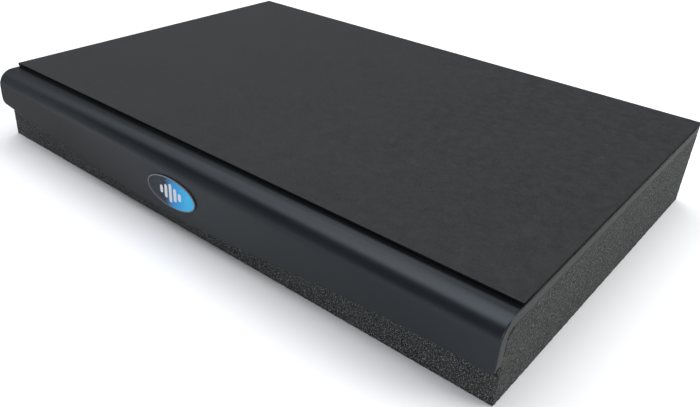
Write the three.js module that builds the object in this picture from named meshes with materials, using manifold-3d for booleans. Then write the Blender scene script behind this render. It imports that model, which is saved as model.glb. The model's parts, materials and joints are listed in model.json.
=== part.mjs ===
// Isolation platform for a stage or studio monitor: a wedge of dense foam carries a heavy steel
// plate, whose front edge is bent down into a lip, and the plate carries a thin non-slip pad.
// Units are millimetres. +Z is up, +X is to the right and -Y is the front, where the lip is.
// The origin is the middle of the object's box, on the surface that the foam rests on.
import * as THREE from "three";
import { mergeVertices } from "three/addons/utils/BufferGeometryUtils.js";
import Module from "manifold-3d";

const wasm = await Module();
wasm.setup();

// ---- Driving dimensions ---------------------------------------------------------------------
const WIDTH = 400;               // plate and pad, left to right
const PAD_DEPTH = 252;           // pad, front to back
const PAD_THICK = 2;             // rubber sheet
const PLATE_THICK = 6.35;        // quarter inch steel
const FILM_THICK = 0.2;          // every layer of adhesive
const SEAM = 0.15;               // clearance on each side of a layer of adhesive

const LIP_AHEAD = 16.3;          // from the pad's front edge to the lip's outer face
const BEND_RADIUS = 11;          // outside of the bend
const LIP_FLARE = 2.2;           // degrees that the lip opens past a right angle

// The lip's lower edge sags to a deepest point left of its middle, and its right end hangs a
// little lower than its left. Drops are from the pad's top, a reach is a share of the way from
// the deepest point to the end, and corner is the radius of the lip's lower corner.
const LIP_MID_DROP = 39.6;
const LIP_MID_OFFSET = -15.5;
const LIP_BELLY_REACH = 0.4;     // how long the edge stays near its deepest
const LIP_LEFT = { side: -1, corner: 3.2, endDrop: 25, waistReach: 0.7, waistDrop: 31 };
const LIP_RIGHT = { side: 1, corner: 2.4, endDrop: 28.3, waistReach: 0.5, waistDrop: 28 };

const FRONT_HEIGHT = 51.5;        // pad top to the foam's underside, at the foam's front
const BACK_HEIGHT = 59;          // the same, at the back
const FOAM_LIP_GAP = 0.3;        // between the foam and the inside of the lip
const FOAM_BEVEL = 5;            // cut on the foam's upper front edge, clear of the bend

const BADGE_WIDTH = 42;
const BADGE_HEIGHT = 18.6;
const BADGE_OFFSET = -9.8;       // badge centre, left of the middle of the lip
const BADGE_DROP = 24.3;         // badge centre, below the pad's top
const BADGE_LABEL_THICK = 0.4;
const BADGE_DOME_RISE = 1.1;

// ---- Levels in the plate's own frame: Y from the pad's front edge, Z from the pad's top ------
const flare = THREE.MathUtils.degToRad(LIP_FLARE);
const padFilmTop = -PAD_THICK - SEAM;
const plateTop = padFilmTop - FILM_THICK - SEAM;
const plateUnder = plateTop - PLATE_THICK;
const foamFilmTop = plateUnder - SEAM;
const foamTop = foamFilmTop - FILM_THICK - SEAM;
const bendCentre = { y: BEND_RADIUS - LIP_AHEAD, z: plateTop - BEND_RADIUS };

// The wedge: the plate lies at this angle to the surface that the foam rests on.
const foamFrontY = -LIP_AHEAD + PLATE_THICK + FOAM_LIP_GAP;
const lean = Math.atan2(BACK_HEIGHT - FRONT_HEIGHT, PAD_DEPTH - foamFrontY);

// ---- Helpers --------------------------------------------------------------------------------
function shapeFrom(points) {
  return new THREE.Shape(points.map(([a, b]) => new THREE.Vector2(a, b)));
}

// Extrudes a (Y, Z) section along X, from x0 to x1.
function alongX(shape, x0, x1, curveSegments = 12) {
  const geometry = new THREE.ExtrudeGeometry(shape, {
    depth: x1 - x0, bevelEnabled: false, curveSegments,
  });
  // The shape's own axes (a, b, extrusion) become (Y, Z, X).
  const turn = new THREE.Matrix4().set(0, 0, 1, x0, 1, 0, 0, 0, 0, 1, 0, 0, 0, 0, 0, 1);
  return geometry.applyMatrix4(turn);
}

function sheet(x0, x1, y0, y1, top, thick) {
  const geometry = new THREE.BoxGeometry(x1 - x0, y1 - y0, thick);
  return geometry.translate((x0 + x1) / 2, (y0 + y1) / 2, top - thick / 2);
}

function toSolid(geometry) {
  const bare = geometry.clone();
  bare.deleteAttribute("normal");
  bare.deleteAttribute("uv");
  const merged = mergeVertices(bare.index ? bare.toNonIndexed() : bare, 1e-5);
  return new wasm.Manifold(new wasm.Mesh({
    numProp: 3,
    vertProperties: new Float32Array(merged.attributes.position.array),
    triVerts: new Uint32Array(merged.index.array),
  }));
}

function toGeometry(solid) {
  const mesh = solid.getMesh();
  const geometry = new THREE.BufferGeometry();
  geometry.setAttribute("position", new THREE.BufferAttribute(mesh.vertProperties, 3));
  geometry.setIndex(new THREE.BufferAttribute(mesh.triVerts, 1));
  geometry.computeVertexNormals();
  return geometry;
}

function named(name, geometry, color, roughness, metalness, extra = {}) {
  const material = new THREE.MeshStandardMaterial({ color, roughness, metalness, ...extra });
  const mesh = new THREE.Mesh(geometry, material);
  mesh.name = name;
  return mesh;
}

// ---- Steel plate with its bent lip ----------------------------------------------------------
// Side section: a flat run, a bend of constant thickness and the flared lip.
function plateSection() {
  const lipLength = LIP_MID_DROP + BEND_RADIUS;
  const bendEnd = Math.PI - flare;
  const inner = BEND_RADIUS - PLATE_THICK;
  const down = { y: -Math.sin(flare) * lipLength, z: -Math.cos(flare) * lipLength };
  const at = (radius) => ({
    y: bendCentre.y + radius * Math.cos(bendEnd),
    z: bendCentre.z + radius * Math.sin(bendEnd),
  });
  const outerEnd = at(BEND_RADIUS);
  const innerEnd = at(inner);
  const shape = new THREE.Shape();
  shape.moveTo(PAD_DEPTH, plateUnder);
  shape.lineTo(PAD_DEPTH, plateTop);
  shape.lineTo(bendCentre.y, plateTop);
  shape.absarc(bendCentre.y, bendCentre.z, BEND_RADIUS, Math.PI / 2, bendEnd, false);
  shape.lineTo(outerEnd.y + down.y, outerEnd.z + down.z);
  shape.lineTo(innerEnd.y + down.y, innerEnd.z + down.z);
  shape.lineTo(innerEnd.y, innerEnd.z);
  shape.absarc(bendCentre.y, bendCentre.z, inner, bendEnd, Math.PI / 2, true);
  shape.closePath();
  return shape;
}

// Points of the lip's lower edge on one side of its deepest point.
function lipSide({ side, corner, endDrop, waistReach, waistDrop }) {
  const edge = side * (WIDTH / 2);
  const inner = edge - side * corner;
  const across = (reach) => LIP_MID_OFFSET + reach * (inner - LIP_MID_OFFSET);
  return {
    edge, inner,
    end: -endDrop,
    rise: corner - endDrop,
    shoulder: -endDrop - 0.25 * corner,
    waist: { x: across(waistReach), z: -waistDrop },
    belly: { x: across(LIP_BELLY_REACH), z: -LIP_MID_DROP },
  };
}

// Front outline: straight ends, rounded corners and the sagging lower edge.
function lipOutline() {
  const left = lipSide(LIP_LEFT);
  const right = lipSide(LIP_RIGHT);
  const shape = new THREE.Shape();
  shape.moveTo(left.edge, BEND_RADIUS);
  shape.lineTo(left.edge, left.rise);
  shape.quadraticCurveTo(left.edge, left.end, left.inner, left.shoulder);
  shape.bezierCurveTo(
    left.waist.x, left.waist.z, left.belly.x, left.belly.z, LIP_MID_OFFSET, -LIP_MID_DROP,
  );
  shape.bezierCurveTo(
    right.belly.x, right.belly.z, right.waist.x, right.waist.z, right.inner, right.shoulder,
  );
  shape.quadraticCurveTo(right.edge, right.end, right.edge, right.rise);
  shape.lineTo(right.edge, BEND_RADIUS);
  shape.closePath();
  return shape;
}

function steelPlate() {
  const bar = toSolid(alongX(plateSection(), -WIDTH / 2, WIDTH / 2));
  const span = PAD_DEPTH + 4 * LIP_AHEAD;
  const outline = new THREE.ExtrudeGeometry(lipOutline(), {
    depth: span, bevelEnabled: false, curveSegments: 24,
  });
  outline.rotateX(Math.PI / 2);
  outline.translate(0, span - 2 * LIP_AHEAD, 0);
  return toGeometry(bar.intersect(toSolid(outline)));
}

// ---- Foam wedge -----------------------------------------------------------------------------
// Its front is parallel to the lip, its back is square to the plate and its underside is level.
function foamWedge() {
  const frontFoot = foamFrontY - Math.tan(flare) * (FRONT_HEIGHT + bendCentre.z);
  const section = shapeFrom([
    [frontFoot, -FRONT_HEIGHT],
    [PAD_DEPTH, -FRONT_HEIGHT - Math.tan(lean) * (PAD_DEPTH - frontFoot)],
    [PAD_DEPTH, foamTop],
    [foamFrontY + FOAM_BEVEL, foamTop],
    [foamFrontY, foamTop - FOAM_BEVEL],
  ]);
  return alongX(section, -WIDTH / 2, WIDTH / 2);
}

// ---- Badge ----------------------------------------------------------------------------------
// Every layer is an ellipse, built flat with its face towards +Z and then set on the lip.
function ellipseSheet(width, height, thick, lift) {
  const shape = new THREE.Shape();
  shape.absellipse(0, 0, width / 2, height / 2, 0, 2 * Math.PI, false, 0);
  const geometry = new THREE.ExtrudeGeometry(shape, {
    depth: thick, bevelEnabled: false, curveSegments: 28,
  });
  return geometry.translate(0, 0, lift);
}

function domeSheet(width, height, rise, lift) {
  const rim = 0.3 * rise;
  const steps = 6;
  const profile = [new THREE.Vector2(0, 0), new THREE.Vector2(1, 0)];
  for (let i = 0; i <= steps; i += 1) {
    const angle = (i / steps) * (Math.PI / 2);
    const radius = i === steps ? 0 : Math.cos(angle);
    profile.push(new THREE.Vector2(radius, rim + (rise - rim) * Math.sin(angle)));
  }
  const geometry = new THREE.LatheGeometry(profile, 56);
  geometry.rotateX(Math.PI / 2);
  geometry.scale(width / 2, height / 2, 1);
  return geometry.translate(0, 0, lift);
}

function badge() {
  const group = new THREE.Group();
  const labelLift = SEAM + FILM_THICK + SEAM;
  const domeLift = labelLift + BADGE_LABEL_THICK + SEAM;
  const inset = 0.6;
  group.add(
    named("badge_bond_film", ellipseSheet(BADGE_WIDTH - inset, BADGE_HEIGHT - inset, FILM_THICK, SEAM),
      0xc9cbc8, 0.7, 0),
    named("badge_label", ellipseSheet(BADGE_WIDTH, BADGE_HEIGHT, BADGE_LABEL_THICK, labelLift),
      0x2f8fd0, 0.35, 0),
    named("badge_dome", domeSheet(BADGE_WIDTH - inset, BADGE_HEIGHT - inset, BADGE_DOME_RISE, domeLift),
      0xeef4f8, 0.05, 0, { transparent: true, opacity: 0.3 }),
  );
  // The lip's outer face, at the badge's height.
  const drop = bendCentre.z + BADGE_DROP;
  const faceY = bendCentre.y - BEND_RADIUS / Math.cos(flare) - Math.tan(flare) * drop;
  group.position.set(BADGE_OFFSET, faceY, -BADGE_DROP);
  group.rotation.x = Math.PI / 2 - flare;
  return group;
}

// ---- Assembly -------------------------------------------------------------------------------
const deck = new THREE.Group();
deck.add(
  named("foam_base", foamWedge(), 0x303436, 0.95, 0),
  named("foam_bond_film",
    sheet(-WIDTH / 2, WIDTH / 2, bendCentre.y, PAD_DEPTH, foamFilmTop, FILM_THICK),
    0xb9b39c, 0.8, 0),
  named("steel_plate", steelPlate(), 0x2b3035, 0.45, 0.3),
  named("pad_bond_film", sheet(-WIDTH / 2, WIDTH / 2, 0, PAD_DEPTH, padFilmTop, FILM_THICK),
    0x8d8f8c, 0.8, 0),
  named("top_pad", sheet(-WIDTH / 2, WIDTH / 2, 0, PAD_DEPTH, 0, PAD_THICK), 0x3d3f42, 0.9, 0),
  badge(),
);
deck.rotation.x = lean;

const platform = new THREE.Group();
platform.add(deck);
platform.updateMatrixWorld(true);
const extent = new THREE.Box3().setFromObject(platform, true);
platform.position.set(0, -(extent.min.y + extent.max.y) / 2, -extent.min.z);
platform.updateMatrixWorld(true);

export default platform;
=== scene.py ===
"""Monitor isolation platform: the looks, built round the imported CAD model.

Lengths are metres in the row frame: +Z up, -Y to the front, where the steel plate's lip is.
Most pieces are worked out in the deck frame instead: its origin is the middle of the pad's top,
X runs across, Y to the back along the pad, and Z out of the pad.
"""

import json
import math

import bmesh
import bpy
import numpy as np
from mathutils import Matrix, Vector, noise


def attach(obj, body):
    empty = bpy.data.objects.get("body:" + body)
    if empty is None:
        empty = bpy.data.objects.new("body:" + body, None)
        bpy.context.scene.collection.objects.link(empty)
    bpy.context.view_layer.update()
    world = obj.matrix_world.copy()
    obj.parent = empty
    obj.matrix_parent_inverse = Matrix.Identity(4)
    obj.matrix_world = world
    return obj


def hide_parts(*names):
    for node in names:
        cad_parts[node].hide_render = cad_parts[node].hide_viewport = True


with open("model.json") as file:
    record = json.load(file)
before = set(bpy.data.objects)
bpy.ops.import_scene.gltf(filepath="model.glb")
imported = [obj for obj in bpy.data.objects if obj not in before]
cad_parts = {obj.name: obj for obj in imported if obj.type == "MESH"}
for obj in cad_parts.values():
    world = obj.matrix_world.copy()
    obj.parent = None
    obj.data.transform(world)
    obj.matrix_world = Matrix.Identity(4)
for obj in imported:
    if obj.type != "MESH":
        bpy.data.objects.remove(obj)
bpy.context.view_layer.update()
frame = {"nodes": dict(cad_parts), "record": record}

MM = 0.001

# ---- Shape constants that the node boxes don't give -------------------------------------------
BEND_RADIUS = 11 * MM            # outside of the plate's bend
LIP_FLARE = math.radians(2.2)    # the lip opens this much past a right angle
LIP_DEEPEST_X = -15.5 * MM       # where the lip's lower edge hangs lowest
LIP_BELLY_REACH = 0.4            # share of the way to each end that it stays low
FOAM_BEVEL = 5 * MM              # clears the bend on the foam's hidden upper front edge

# ---- Deck frame -------------------------------------------------------------------------------
top_mount = next(m for m in frame["record"]["mounts"] if m["name"] == "top_face")
DECK_ORIGIN = Vector(top_mount["pos_m"])
DECK_UP = Vector(top_mount["axis"]).normalized()
ACROSS = Vector((1, 0, 0))
DECK_BACK = DECK_UP.cross(ACROSS)
DECK_AXES = np.array([ACROSS, DECK_BACK, DECK_UP])


def to_row(points):
    """Deck-frame points as row-frame points."""
    return np.asarray(points, float) @ DECK_AXES + np.array(DECK_ORIGIN)


def deck_range(node):
    """(lowest, highest) corner of a CAD node in the deck frame."""
    points = np.array([v.co for v in frame["nodes"][node].data.vertices], float)
    local = (points - np.array(DECK_ORIGIN)) @ DECK_AXES.T
    return local.min(0), local.max(0)


pad_low, pad_high = deck_range("top_pad")
plate_low, plate_high = deck_range("steel_plate")
foam_low, foam_high = deck_range("foam_base")
foam_film_low, foam_film_high = deck_range("foam_bond_film")

HALF_WIDTH = plate_high[0]
PLATE_TOP = plate_high[2]
PLATE_BACK = plate_high[1]
PLATE_THICK = PLATE_TOP - (foam_film_high[2] + (foam_film_low[2] - foam_high[2]))
LIP_MID_DROP = -plate_low[2]
BEND_Y = foam_film_low[1]        # the adhesive stops where the bend begins
BEND_Z = PLATE_TOP - BEND_RADIUS


# ---- Mesh helpers -----------------------------------------------------------------------------
def new_piece(name, points, faces, material, smooth=True, caps=()):
    """A closed mesh piece on the root body, with its faces turned outwards.

    caps are closed loops of vertex numbers to be filled with triangles."""
    mesh = bpy.data.meshes.new(name)
    mesh.from_pydata([tuple(p) for p in points], [], [tuple(f) for f in faces])
    shape = bmesh.new()
    shape.from_mesh(mesh)
    shape.verts.ensure_lookup_table()
    for loop in caps:
        ring = [shape.verts[k] for k in loop]
        edges = [shape.edges.get(pair) for pair in zip(ring, ring[1:] + ring[:1])]
        bmesh.ops.triangle_fill(shape, edges=edges, use_beauty=True)
    bmesh.ops.recalc_face_normals(shape, faces=shape.faces)
    shape.to_mesh(mesh)
    shape.free()
    mesh.shade_smooth() if smooth else mesh.shade_flat()
    mesh.materials.append(material)
    piece = bpy.data.objects.new(name, mesh)
    bpy.context.scene.collection.objects.link(piece)
    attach(piece, "root")
    return piece


def weigh_normals(piece):
    """Keeps large flat faces flat next to their small rounded edges."""
    weighted = piece.modifiers.new("weighted_normals", "WEIGHTED_NORMAL")
    weighted.mode = "FACE_AREA"
    weighted.weight = 80


def ring_faces(first, second):
    """Quads between two closed loops of vertex numbers."""
    a, b = np.asarray(first), np.asarray(second)
    return np.stack([a, np.roll(a, -1), np.roll(b, -1), b], 1).tolist()


def loop_normals(outline):
    """Outward normals of a closed outline that turns from its first axis to its second."""
    step = np.roll(outline, -1, 0) - outline
    side = np.stack([step[:, 1], -step[:, 0]], 1)
    side /= np.linalg.norm(side, axis=1, keepdims=True)
    mean = side + np.roll(side, 1, 0)
    return mean / np.linalg.norm(mean, axis=1, keepdims=True)


def rounded_sheet(name, columns, rows, place, thick, edge, material, steps=4):
    """A sheet of even thickness with its rim rounded to the radius edge.

    columns holds the positions across, and rows those along each column, both measured on the
    sheet laid out flat and already drawn in by edge. place(across, along, depth) bends it."""
    across_count, along_count = rows.shape
    across = np.repeat(columns[:, None], along_count, 1)
    flat = np.stack([across, rows], -1).reshape(-1, 2)
    grid = np.arange(across_count * along_count).reshape(across_count, along_count)
    loop = np.concatenate([grid[:-1, 0], grid[-1, :-1], grid[:0:-1, -1], grid[0, :0:-1]])
    outline = flat[loop]
    outward = loop_normals(outline)
    turns = [step / steps * math.pi / 2 for step in range(1, steps + 1)]
    rings = [(math.sin(a), edge * (1 - math.cos(a))) for a in turns]
    rings += [(reach, thick - depth) for reach, depth in reversed(rings)]
    points = [place(flat[:, 0], flat[:, 1], np.zeros(len(flat)))]
    for reach, depth in rings:
        ring = outline + outward * edge * reach
        points.append(place(ring[:, 0], ring[:, 1], np.full(len(ring), depth)))
    points.append(place(flat[:, 0], flat[:, 1], np.full(len(flat), thick)))
    under = len(flat) + len(rings) * len(loop)
    quads = np.stack([grid[:-1, :-1], grid[:-1, 1:], grid[1:, 1:], grid[1:, :-1]], -1).reshape(-1, 4)
    faces = quads.tolist() + (quads[:, ::-1] + under).tolist()
    loops = [loop]
    loops += [len(flat) + k * len(loop) + np.arange(len(loop)) for k in range(len(rings))]
    loops.append(loop + under)
    for first, second in zip(loops, loops[1:]):
        faces += ring_faces(first, second)
    piece = new_piece(name, np.concatenate(points), faces, material)
    weigh_normals(piece)
    return piece


# ---- Material helpers -------------------------------------------------------------------------
class Surface:
    """A Principled material with short calls for the nodes that feed it."""

    def __init__(self, name, **sockets):
        self.material = bpy.data.materials.new(name)
        self.material.use_nodes = True
        self.tree = self.material.node_tree
        self.shader = self.tree.nodes["Principled BSDF"]
        self.place = self.tree.nodes.new("ShaderNodeTexCoord").outputs["Object"]
        for socket, value in sockets.items():
            self.shader.inputs[socket.replace("_", " ")].default_value = value

    def link(self, source, target):
        self.tree.links.new(source, target)

    def set(self, target, value):
        """Links a node's output, or sets a number or colour."""
        if isinstance(value, bpy.types.NodeSocket):
            self.link(value, target)
        else:
            target.default_value = value

    def scaled(self, sizes):
        """Object coordinates divided by a feature size, in metres, along each axis."""
        node = self.tree.nodes.new("ShaderNodeVectorMath")
        node.operation = "DIVIDE"
        self.link(self.place, node.inputs[0])
        node.inputs[1].default_value = sizes if hasattr(sizes, "__len__") else (sizes,) * 3
        return node.outputs[0]

    def noise(self, size, detail=2.0, rough=0.5, warp=0.0):
        node = self.tree.nodes.new("ShaderNodeTexNoise")
        self.link(self.scaled(size), node.inputs["Vector"])
        node.inputs["Scale"].default_value = 1.0
        node.inputs["Detail"].default_value = detail
        node.inputs["Roughness"].default_value = rough
        node.inputs["Distortion"].default_value = warp
        return node.outputs["Fac"]

    def cells(self, size, feature="F1", output="Distance"):
        node = self.tree.nodes.new("ShaderNodeTexVoronoi")
        node.feature = feature
        self.link(self.scaled(size), node.inputs["Vector"])
        node.inputs["Scale"].default_value = 1.0
        return node.outputs[output]

    def ramp(self, source, *stops):
        """A colour ramp from (position, colour or grey) stops."""
        node = self.tree.nodes.new("ShaderNodeValToRGB")
        self.link(source, node.inputs[0])
        stretch = node.color_ramp.elements
        while len(stretch) < len(stops):
            stretch.new(0.5)
        for element, (position, colour) in zip(stretch, stops):
            element.position = position
            element.color = (*colour, 1) if hasattr(colour, "__len__") else (colour,) * 3 + (1,)
        return node.outputs[0]

    def mix(self, factor, first, second, blend="MIX"):
        node = self.tree.nodes.new("ShaderNodeMix")
        node.data_type = "RGBA"
        node.blend_type = blend
        self.set(node.inputs[0], factor)
        self.set(node.inputs[6], first)
        self.set(node.inputs[7], second)
        return node.outputs[2]

    def math(self, operation, first, second=0.0, clamp=False):
        node = self.tree.nodes.new("ShaderNodeMath")
        node.operation = operation
        node.use_clamp = clamp
        self.set(node.inputs[0], first)
        self.set(node.inputs[1], second)
        return node.outputs[0]

    def facing(self, direction, low, high):
        """From 0 to 1 as the surface turns towards a fixed direction of the row frame."""
        normal = self.tree.nodes.new("ShaderNodeTexCoord").outputs["Normal"]
        node = self.tree.nodes.new("ShaderNodeVectorMath")
        node.operation = "DOT_PRODUCT"
        self.link(normal, node.inputs[0])
        node.inputs[1].default_value = direction
        spread = self.tree.nodes.new("ShaderNodeMapRange")
        self.link(node.outputs["Value"], spread.inputs["Value"])
        spread.inputs["From Min"].default_value = low
        spread.inputs["From Max"].default_value = high
        return spread.outputs["Result"]

    def glancing(self):
        """0 where the surface is seen square on, and 1 where it is seen edge on."""
        node = self.tree.nodes.new("ShaderNodeLayerWeight")
        node.inputs["Blend"].default_value = 0.5
        return node.outputs["Facing"]

    def bump(self, height, strength, distance, under=None):
        node = self.tree.nodes.new("ShaderNodeBump")
        self.link(height, node.inputs["Height"])
        node.inputs["Strength"].default_value = strength
        node.inputs["Distance"].default_value = distance
        if under is not None:
            self.link(under, node.inputs["Normal"])
        return node.outputs["Normal"]

    def finish(self, colour=None, roughness=None, normal=None):
        for socket, value in (("Base Color", colour), ("Roughness", roughness), ("Normal", normal)):
            if value is not None:
                self.link(value, self.shader.inputs[socket])
        return self.material


def rgb(grey, warm=0.0):
    """A near-grey colour. warm above 0 leans to red, and below 0 to blue."""
    return (grey * (1 + warm), grey, grey * (1 - warm), 1)


# ---- Materials --------------------------------------------------------------------------------
def foam_material():
    """Charcoal open-cell foam: fine pale struts round dark pits, under a millimetre across; the pits'
    darkness is painted shade.

    The front face gets darker pits and paler struts than the sides, for a stronger grain."""
    s = Surface("foam_open_cell", Roughness=0.95, Specular_IOR_Level=0.15)
    fine = s.noise(0.62 * MM, 3.0, 0.65)
    cell = s.cells(1.1 * MM)
    blotch = s.noise(16 * MM, 2.0, 0.5)
    # Strut tones for the sides, then darker and higher-contrast ones for the front face.
    side_struts = s.ramp(
        fine, (0.34, (0.013, 0.014, 0.014)), (0.50, (0.048, 0.051, 0.050)), (0.70, (0.20, 0.21, 0.205))
    )
    front_struts = s.ramp(
        fine, (0.41, (0.005, 0.006, 0.006)), (0.51, (0.028, 0.031, 0.030)), (0.65, (0.27, 0.285, 0.28))
    )
    struts = s.mix(s.facing((0, -1, 0), 0.6, 0.9), side_struts, front_struts)
    # The near-black mixed in by the cell pattern is painted shade in the foam's pits.
    colour = s.mix(s.ramp(cell, (0.20, 0.85), (0.60, 0.0)), struts, rgb(0.014))
    colour = s.mix(s.ramp(blotch, (0.35, 0.0), (0.65, 0.25)), colour, (0.062, 0.066, 0.064, 1))
    normal = s.bump(fine, 0.5, 0.3 * MM, s.bump(cell, 0.6, 0.4 * MM))
    return s.finish(colour, None, normal)


def pad_material():
    """Black rubber sheet: its top has a fine matte grain, dusty and faintly scuffed."""
    s = Surface("rubber_pad")
    grain = s.noise(0.5 * MM, 2.0, 0.6)
    mottle = s.noise(7 * MM, 5.0, 0.7, 0.4)
    cloud = s.noise(60 * MM, 3.0, 0.55)
    top = s.facing(DECK_UP, 0.75, 0.98)
    dust = s.ramp(mottle, (0.32, (0.0100, 0.0103, 0.0110)), (0.68, (0.0265, 0.0269, 0.0285)))
    dust = s.mix(s.ramp(cloud, (0.3, 0.0), (0.75, 0.35)), dust, rgb(0.025, -0.04))
    dust = s.mix(s.ramp(grain, (0.38, 0.0), (0.72, 0.50)), dust, rgb(0.050, -0.03))
    cut = s.mix(grain, rgb(0.0015), rgb(0.005))
    rough = s.ramp(mottle, (0.3, 0.66), (0.7, 0.86))
    s.link(s.ramp(top, (0.0, 0.07), (1.0, 0.11)), s.shader.inputs["Specular IOR Level"])
    normal = s.bump(grain, 0.3, 0.12 * MM, s.bump(mottle, 0.12, 0.3 * MM))
    return s.finish(s.mix(top, cut, dust), rough, normal)


def steel_material():
    """Satin black powder coat with a faint orange peel. Its cut ends are rougher and less glossy, and
    their pale colour is partly dust and partly a painted sheen.
    """
    s = Surface("powder_coated_steel", Specular_Tint=(0.81, 0.91, 1.0, 1))
    peel = s.noise(1.3 * MM, 2.0, 0.5)
    cloud = s.noise(45 * MM, 3.0, 0.5)
    ends = s.math("MAXIMUM", s.facing((1, 0, 0), 0.8, 0.98), s.facing((-1, 0, 0), 0.8, 0.98))
    ends = s.math("MAXIMUM", ends, s.facing(DECK_BACK, 0.8, 0.98))
    face = s.mix(cloud, rgb(0.004, -0.25), rgb(0.008, -0.2))
    # The ends' pale colour is partly dust and partly a painted sheen for the light their edges catch.
    dust_and_sheen = s.mix(s.noise(1.2 * MM, 4.0, 0.7), (0.042, 0.045, 0.044, 1), (0.092, 0.097, 0.094, 1))
    gloss = s.ramp(s.glancing(), (0.10, 0.50), (0.32, 0.27), (0.46, 0.29), (0.57, 0.09), (0.64, 0.045))
    s.link(s.mix(ends, gloss, rgb(0.03)), s.shader.inputs["Specular IOR Level"])
    rough = s.math("ADD", s.math("MULTIPLY", cloud, 0.08), s.math("MULTIPLY", ends, 0.25))
    rough = s.math("ADD", rough, 0.32)
    return s.finish(s.mix(ends, face, dust_and_sheen), rough, s.bump(peel, 0.08, 0.15 * MM))


def film_material(name, first, second, roughness):
    """A thin layer of adhesive with a streaky, uneven tone."""
    s = Surface(name, Roughness=roughness)
    streaks = s.noise((6 * MM, 1.5 * MM, 1.5 * MM), 3.0, 0.6)
    return s.finish(s.mix(streaks, first, second), None, s.bump(streaks, 0.3, 0.1 * MM))


def ink_material(name, first, second, roughness=0.3):
    """Printed vinyl under clear resin: an even colour with a slight fade and a fine texture."""
    s = Surface(name, Specular_IOR_Level=0.1, Coat_Weight=0.05, Coat_Roughness=0.06)
    fade = s.noise(12 * MM, 1.0, 0.5)
    rough = s.ramp(s.noise(0.6 * MM), (0.3, roughness), (0.7, roughness + 0.08))
    return s.finish(s.mix(fade, first, second), rough)


def field_material():
    """The badge's printed field: navy on the left, running smoothly into a clear blue."""
    s = Surface("badge_field_print", Specular_IOR_Level=0.05, Coat_Weight=0.02, Coat_Roughness=0.06)
    split = s.tree.nodes.new("ShaderNodeSeparateXYZ")
    s.link(s.place, split.inputs[0])
    spread = s.tree.nodes.new("ShaderNodeMapRange")
    s.link(split.outputs["X"], spread.inputs["Value"])
    spread.inputs["From Min"].default_value = BADGE_CENTRE[0] - 0.75 * BADGE_HALF
    spread.inputs["From Max"].default_value = BADGE_CENTRE[0] + 0.75 * BADGE_HALF
    grain = s.noise(0.5 * MM)
    across = s.math("ADD", spread.outputs["Result"], s.math("MULTIPLY", grain, 0.06), clamp=True)
    colour = s.ramp(
        across,
        (0.0, (0.008, 0.009, 0.011)),
        (0.38, (0.010, 0.022, 0.045)),
        (0.6, (0.020, 0.300, 0.720)),
        (1.0, (0.050, 0.520, 0.930)),
    )
    return s.finish(colour, s.ramp(grain, (0.3, 0.28), (0.7, 0.36)))


def resin_material():
    """Clear domed resin: nearly invisible but for its gloss."""
    s = Surface("clear_resin", Alpha=0.06, IOR=1.5, Coat_Weight=1.0, Coat_Roughness=0.03)
    tint = s.mix(s.noise(9 * MM), (0.10, 0.12, 0.14, 1), (0.14, 0.16, 0.18, 1))
    rough = s.ramp(s.noise(2.5 * MM), (0.3, 0.03), (0.8, 0.07))
    return s.finish(tint, rough, s.bump(s.noise(4 * MM, 1.0), 0.05, 0.2 * MM))


def floor_material():
    s = Surface("studio_floor", Specular_IOR_Level=0.2, Roughness=0.8)
    tone = s.noise(0.4, 3.0, 0.5)
    return s.finish(s.mix(tone, rgb(0.86), rgb(0.89)), None, s.bump(s.noise(6 * MM), 0.03, 0.2 * MM))


# ---- Rubber pad -------------------------------------------------------------------------------
def rubber_pad():
    edge = 0.35 * MM
    half = pad_high[0] - edge
    columns = np.linspace(-half, half, 41)
    along = np.linspace(pad_high[1] - edge, pad_low[1] + edge, 27)
    rows = np.repeat(-along[None, :], len(columns), 0)
    top = pad_high[2]

    def place(across, back, depth):
        return to_row(np.stack([across, -back, top - depth], 1))

    piece = rounded_sheet(
        "rubber_pad", columns, rows, place, top - pad_low[2], edge, pad_material()
    )
    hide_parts("top_pad")
    return piece


# ---- Steel plate ------------------------------------------------------------------------------
def bezier(points, count):
    """Points on a Bezier curve of any order, by repeated mixing."""
    t = np.linspace(0, 1, count)[:, None]
    level = [np.array(p, float)[None, :] for p in points]
    while len(level) > 1:
        level = [a * (1 - t) + b * t for a, b in zip(level, level[1:])]
    return level[0]


def lip_side(side, corner_radius, end_drop, waist_reach, waist_drop):
    """Half of the lip's lower edge, from its deepest point outwards, as (across, drop)."""
    end = side * HALF_WIDTH
    inner = end - side * corner_radius
    shoulder = end_drop + 0.25 * corner_radius
    span = inner - LIP_DEEPEST_X
    sag = bezier(
        [
            (LIP_DEEPEST_X, LIP_MID_DROP),
            (LIP_DEEPEST_X + LIP_BELLY_REACH * span, LIP_MID_DROP),
            (LIP_DEEPEST_X + waist_reach * span, waist_drop),
            (inner, shoulder),
        ],
        30,
    )
    corner = bezier([(inner, shoulder), (end, end_drop), (end, end_drop - corner_radius)], 7)
    return np.concatenate([sag, corner[1:]])


def lip_edge():
    """Positions across the lip and how far its lower edge hangs below the pad's top."""
    left = lip_side(-1, 3.2 * MM, 25.0 * MM, 0.7, 31 * MM)
    right = lip_side(1, 2.4 * MM, 28.3 * MM, 0.5, 28 * MM)
    return np.concatenate([left[:0:-1], right])


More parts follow.
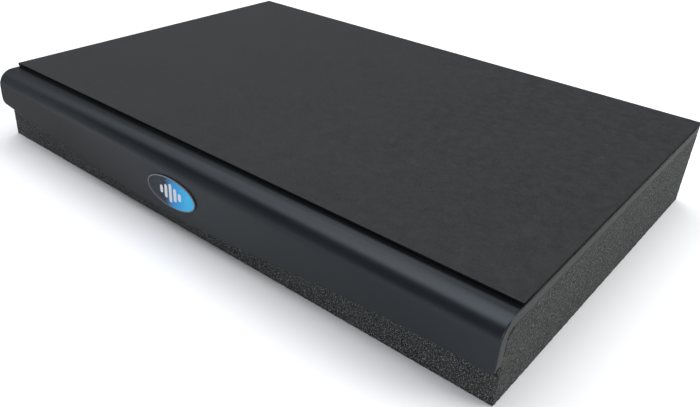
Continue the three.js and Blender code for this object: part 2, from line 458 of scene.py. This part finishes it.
def steel_plate():
    edge = 0.8 * MM
    swing = math.pi / 2 - LIP_FLARE
    flat_length = PLATE_BACK - BEND_Y
    bend_length = BEND_RADIUS * swing
    outline = lip_edge()
    columns = outline[:, 0] * (HALF_WIDTH - edge) / HALF_WIDTH
    drop = outline[:, 1] - edge
    lip_length = (drop + BEND_Z + BEND_RADIUS * math.sin(LIP_FLARE)) / math.cos(LIP_FLARE)
    flat = np.linspace(edge, flat_length, 22)
    bend = flat_length + bend_length * np.linspace(0, 1, 17)[1:]
    lip = np.linspace(0, 1, 9)[1:]
    rows = np.concatenate(
        [
            np.repeat(np.concatenate([flat, bend])[None, :], len(columns), 0),
            flat_length + bend_length + lip_length[:, None] * lip[None, :],
        ],
        1,
    )

    def place(across, along, depth):
        """Runs forward along the flat, round the bend and down the lip."""
        turn = np.clip((along - flat_length) / BEND_RADIUS, 0, swing)
        beyond = np.clip(along - flat_length - bend_length, 0, None)
        ahead = np.clip(along, None, flat_length)
        y = PLATE_BACK - ahead - (BEND_RADIUS - depth) * np.sin(turn) - beyond * np.cos(turn)
        z = BEND_Z + (BEND_RADIUS - depth) * np.cos(turn) - beyond * np.sin(turn)
        return to_row(np.stack([across, y, z], 1))

    piece = rounded_sheet(
        "bent_steel_plate", columns, rows, place, PLATE_THICK, edge, steel_material()
    )
    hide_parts("steel_plate")
    return piece


# ---- Foam wedge -------------------------------------------------------------------------------
FOAM_STEP = 1.0 * MM             # spacing of the foam's surface points
FOAM_ROUND = 0.5 * MM            # softness of its cut edges


def foam_outline(width_low, width_high):
    """Columns round the block, as (x, share of the way back, offset back, outward x and y)."""
    r = FOAM_ROUND
    across = np.linspace(width_low + r, width_high - r, int((width_high - width_low) / FOAM_STEP))
    depth = foam_high[1] - foam_low[1]
    share = np.linspace(0, 1, int(depth / FOAM_STEP))
    turns = np.linspace(0, math.pi / 2, 4)[1:-1]
    columns = [(x, 0.0, 0.0, 0.0, -1.0) for x in across]
    columns += [
        (width_high - r + r * math.sin(a), 0.0, r - r * math.cos(a), math.sin(a), -math.cos(a))
        for a in turns
    ]
    columns += [(width_high, q, r * (1 - 2 * q), 1.0, 0.0) for q in share]
    columns += [
        (width_high - r + r * math.cos(a), 1.0, r * math.sin(a) - r, math.cos(a), math.sin(a))
        for a in turns
    ]
    columns += [(x, 1.0, 0.0, 0.0, 1.0) for x in across[::-1]]
    columns += [
        (width_low + r - r * math.sin(a), 1.0, r * math.cos(a) - r, -math.sin(a), math.cos(a))
        for a in turns
    ]
    columns += [(width_low, q, r * (1 - 2 * q), -1.0, 0.0) for q in share[::-1]]
    columns += [
        (width_low + r - r * math.cos(a), 0.0, r - r * math.sin(a), -math.cos(a), -math.sin(a))
        for a in turns
    ]
    return np.array(columns)


def foam_front(z, foot_z):
    """Where the front face is at a deck height: it leans with the lip and clears the bend."""
    lean = foam_low[1] + math.tan(LIP_FLARE) * (z - foot_z)
    return lean + np.clip(z - (foam_high[2] - FOAM_BEVEL), 0, None)


def foam_relief(point):
    """How far in a surface point lies: cell pits, torn lumps and a slow waver of the cut."""
    p = Vector(point)
    pit = noise.noise(p / (1.1 * MM))
    tear = noise.noise(p / (3.2 * MM) + Vector((7, 3, 1)))
    waver = noise.noise(p / (45 * MM) + Vector((2, 9, 4)))
    return MM * (0.10 + 0.22 * pit + 0.10 * tear + 0.05 * waver)


def foam_block():
    columns = foam_outline(foam_low[0], foam_high[0])
    x, share, offset, out_x, out_y = columns.T
    foot_z = -(DECK_ORIGIN.z + DECK_BACK.z * foam_low[1]) / DECK_UP.z
    rise = np.arange(0, 1, 1 / 46)
    round_turns = np.linspace(0, math.pi / 2, 4)[:-1]
    bottom = [(FOAM_ROUND * (1 - math.sin(a)), FOAM_ROUND * (1 - math.cos(a))) for a in round_turns]
    levels = [(inset, lift, 0.0) for inset, lift in bottom]
    levels += [(0.0, FOAM_ROUND, s) for s in rise] + [(0.0, FOAM_ROUND, 1.0)]
    rows = []
    for inset, lift, s in levels:
        z = np.full(len(x), foot_z)
        for _ in range(3):
            y = foam_front(z, foot_z) * (1 - share) + foam_high[1] * share + offset
            floor_z = -(DECK_ORIGIN.z + DECK_BACK.z * y) / DECK_UP.z
            z = floor_z + lift + s * (foam_high[2] - floor_z - lift)
        rows.append(np.stack([x - out_x * inset, y - out_y * inset, z], 1))
    points = np.array(rows)
    count = len(x)
    for level in range(len(levels)):
        fade = min(1.0, (len(levels) - 1 - level) / 2)
        for k in range(count):
            relief = max(foam_relief(points[level, k]), 0) * fade
            points[level, k, 0] -= out_x[k] * relief
            points[level, k, 1] -= out_y[k] * relief
    flat = to_row(points.reshape(-1, 3))
    flat[:, 2] = np.clip(flat[:, 2], 0, None)
    loops = [level * count + np.arange(count) for level in range(len(levels))]
    faces = []
    for first, second in zip(loops, loops[1:]):
        faces += ring_faces(first, second)
    ends = (loops[0].tolist(), loops[-1].tolist())
    piece = new_piece("foam_block", flat, faces, foam_material(), caps=ends)
    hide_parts("foam_base")
    return piece


# ---- Badge ------------------------------------------------------------------------------------
label_low, label_high = deck_range("badge_label")
BADGE_HALF = (label_high[0] - label_low[0]) / 2
BADGE_OUT = np.array((0, -math.cos(LIP_FLARE), math.sin(LIP_FLARE)))
BADGE_UP = np.array((0, math.sin(LIP_FLARE), math.cos(LIP_FLARE)))
BADGE_CENTRE = (label_low + label_high) / 2


def badge_reach(node, direction):
    """The lowest and highest place of a node along a deck direction, from the badge's centre."""
    points = np.array([v.co for v in frame["nodes"][node].data.vertices], float)
    local = (points - np.array(DECK_ORIGIN)) @ DECK_AXES.T - BADGE_CENTRE
    along = local @ direction
    return along.min(), along.max()


def on_badge(across, up, out):
    """Badge coordinates, from its centre, as row-frame points."""
    axes = np.array([(1, 0, 0), BADGE_UP, BADGE_OUT])
    return to_row(np.stack([across, up, out], 1) @ axes + BADGE_CENTRE)


def oval(name, half_wide, half_high, profile, material, count=72):
    """A closed oval: profile is (inset from its rim, height) pairs from underside to top."""
    turns = np.linspace(0, 2 * math.pi, count, endpoint=False)
    points, loops = [], []
    for inset, height in profile:
        across = (half_wide - inset) * np.cos(turns)
        up = (half_high - inset) * np.sin(turns)
        loops.append(len(loops) * count + np.arange(count))
        points.append(on_badge(across, up, np.full(count, height)))
    faces = [loops[0][::-1].tolist(), loops[-1].tolist()]
    for first, second in zip(loops, loops[1:]):
        faces += ring_faces(first, second)
    piece = new_piece(name, np.concatenate(points), faces, material)
    weigh_normals(piece)
    return piece


def level_bars(low, high, material):
    """Five plain upright bars with round ends, like a sound level: a generic device."""
    pitch = 4.0 * MM
    half_width = 1.25 * MM
    heights = [5.0, 8.6, 12.0, 8.6, 5.0]
    turns = np.linspace(0, math.pi, 9)
    points, faces = [], []
    for k, height in enumerate(heights):
        middle = (k - (len(heights) - 1) / 2) * pitch
        straight = height * MM / 2 - half_width
        cap = np.stack([np.cos(turns), np.sin(turns)], 1) * half_width
        outline = np.concatenate([cap + (0, straight), -cap - (0, straight)]) + (middle, 0)
        for out in (low, high):
            points.append(on_badge(outline[:, 0], outline[:, 1], np.full(len(outline), out)))
        first = sum(len(p) for p in points[:-2])
        lower = first + np.arange(len(outline))
        upper = lower + len(outline)
        faces += ring_faces(lower, upper)
        faces += [lower[::-1].tolist(), upper.tolist()]
    piece = new_piece("badge_level_bars", np.concatenate(points), faces, material, smooth=False)
    return piece


def badge():
    low, high = badge_reach("badge_label", BADGE_OUT)
    up_low, up_high = badge_reach("badge_label", BADGE_UP)
    half_high = (up_high - up_low) / 2
    edge = 0.12 * MM
    rim_width = 0.6 * MM
    rim = oval(
        "badge_rim", BADGE_HALF, half_high,
        [(edge, low), (0, low + edge), (0, high - edge), (edge, high), (half_high * 0.9, high)],
        ink_material("rim_print", (0.15, 0.17, 0.20, 1), (0.22, 0.25, 0.28, 1), 0.28),
    )
    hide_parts("badge_label")
    ink = 0.03 * MM
    oval(
        "badge_field", BADGE_HALF - rim_width, half_high - rim_width,
        [(0, high), (0, high + ink), (half_high * 0.8, high + ink)],
        field_material(),
    )
    level_bars(
        high + ink, high + 2 * ink,
        ink_material("white_print", (0.72, 0.74, 0.76, 1), (0.80, 0.81, 0.82, 1)),
    )
    dome_low, dome_high = badge_reach("badge_dome", BADGE_OUT)
    across = badge_reach("badge_dome", np.array((1.0, 0, 0)))
    dome_half = (across[1] - across[0]) / 2
    dome_high_half = half_high - (BADGE_HALF - dome_half)
    swell = [(0, dome_low)]
    for k in range(9):
        a = k / 8 * math.pi / 2
        inset = dome_high_half * 0.97 * (1 - math.cos(a)) ** 1.5
        swell.append((inset, dome_low + (dome_high - dome_low) * (0.3 + 0.7 * math.sin(a))))
    dome = oval(
        "badge_resin_dome", dome_half, dome_high_half, swell, resin_material()
    )
    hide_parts("badge_dome")


# ---- Adhesive layers: their CAD nodes stay ----------------------------------------------------
def dress_films():
    tones = {
        # The foam film's pale grey is painted light, lifting the shade in the gap between plate and
        # foam.
        "foam_bond_film": (rgb(0.060), rgb(0.100), 0.8),
        "pad_bond_film": (rgb(0.010), rgb(0.022), 0.5),
        "badge_bond_film": (rgb(0.35), rgb(0.45), 0.5),
    }
    for node, (first, second, roughness) in tones.items():
        material = film_material(node + "_adhesive", first, second, roughness)
        frame["nodes"][node].material_slots[0].material = material


# ---- Camera, floor and light ------------------------------------------------------------------
CAMERA_PLACE = (279.7 * MM, -345.5 * MM, 223.8 * MM)
CAMERA_AZIMUTH = 37.26           # degrees; 0 looks along +Y
CAMERA_DOWN = 29.64
CAMERA_ROLL = 4.03
CAMERA_LENS = 35.6               # mm, on a sensor 36 mm wide


def camera():
    data = bpy.data.cameras.new("camera")
    data.sensor_width = 36
    data.lens = CAMERA_LENS
    data.clip_start = 0.01
    data.clip_end = 50
    thing = bpy.data.objects.new("camera", data)
    bpy.context.scene.collection.objects.link(thing)
    aim = Matrix.Rotation(math.radians(CAMERA_AZIMUTH), 4, "Z")
    aim @= Matrix.Rotation(math.radians(90 - CAMERA_DOWN), 4, "X")
    aim @= Matrix.Rotation(math.radians(CAMERA_ROLL), 4, "Z")
    thing.matrix_world = Matrix.Translation(CAMERA_PLACE) @ aim
    bpy.context.scene.camera = thing


def floor():
    half = 6.0
    mesh = bpy.data.meshes.new("floor")
    corners = [(-half, -half, 0), (half, -half, 0), (half, half, 0), (-half, half, 0)]
    mesh.from_pydata(corners, [], [(0, 1, 2, 3)])
    mesh.materials.append(floor_material())
    thing = bpy.data.objects.new("floor", mesh)
    bpy.context.scene.collection.objects.link(thing)


def softbox(name, place, target, size, watts, colour=(1, 1, 1)):
    data = bpy.data.lights.new(name, "AREA")
    data.shape = "RECTANGLE"
    data.size, data.size_y = size
    data.energy = watts
    data.color = colour
    thing = bpy.data.objects.new(name, data)
    bpy.context.scene.collection.objects.link(thing)
    thing.location = place
    aim = Vector(target) - Vector(place)
    thing.rotation_mode = "QUATERNION"
    thing.rotation_quaternion = aim.to_track_quat("-Z", "Y")


def studio():
    world = bpy.data.worlds.new("studio")
    world.use_nodes = True
    world.node_tree.nodes["Background"].inputs["Color"].default_value = (0.80, 0.86, 1.0, 1)
    world.node_tree.nodes["Background"].inputs["Strength"].default_value = 0.10
    bpy.context.scene.world = world
    bpy.context.scene.view_settings.view_transform = "Standard"
    softbox("overhead", (-0.3, 0.1, 1.5), (0, 0, 0), (2.2, 2.0), 38, (0.96, 0.97, 1.0))
    softbox("back_right", (1.4, 0.75, 0.9), (0, 0, 0), (1.1, 0.9), 19, (1.0, 0.99, 0.97))
    softbox("back_left", (-1.5, 0.5, 0.7), (0, 0, 0.05), (2.4, 1.0), 6.0, (0.92, 0.95, 1.0))
    softbox("low_left", (-1.4, -0.9, 0.3), (0, 0, 0.05), (1.7, 0.6), 1.8, (0.88, 0.95, 1.0))
    softbox("front", (0.8, -1.5, 0.55), (0, 0, 0.03), (0.9, 0.6), 8, (0.97, 0.99, 1.0))


# ---- Build ------------------------------------------------------------------------------------
camera()
floor()
studio()
foam_block()
steel_plate()
rubber_pad()
badge()
dress_films()
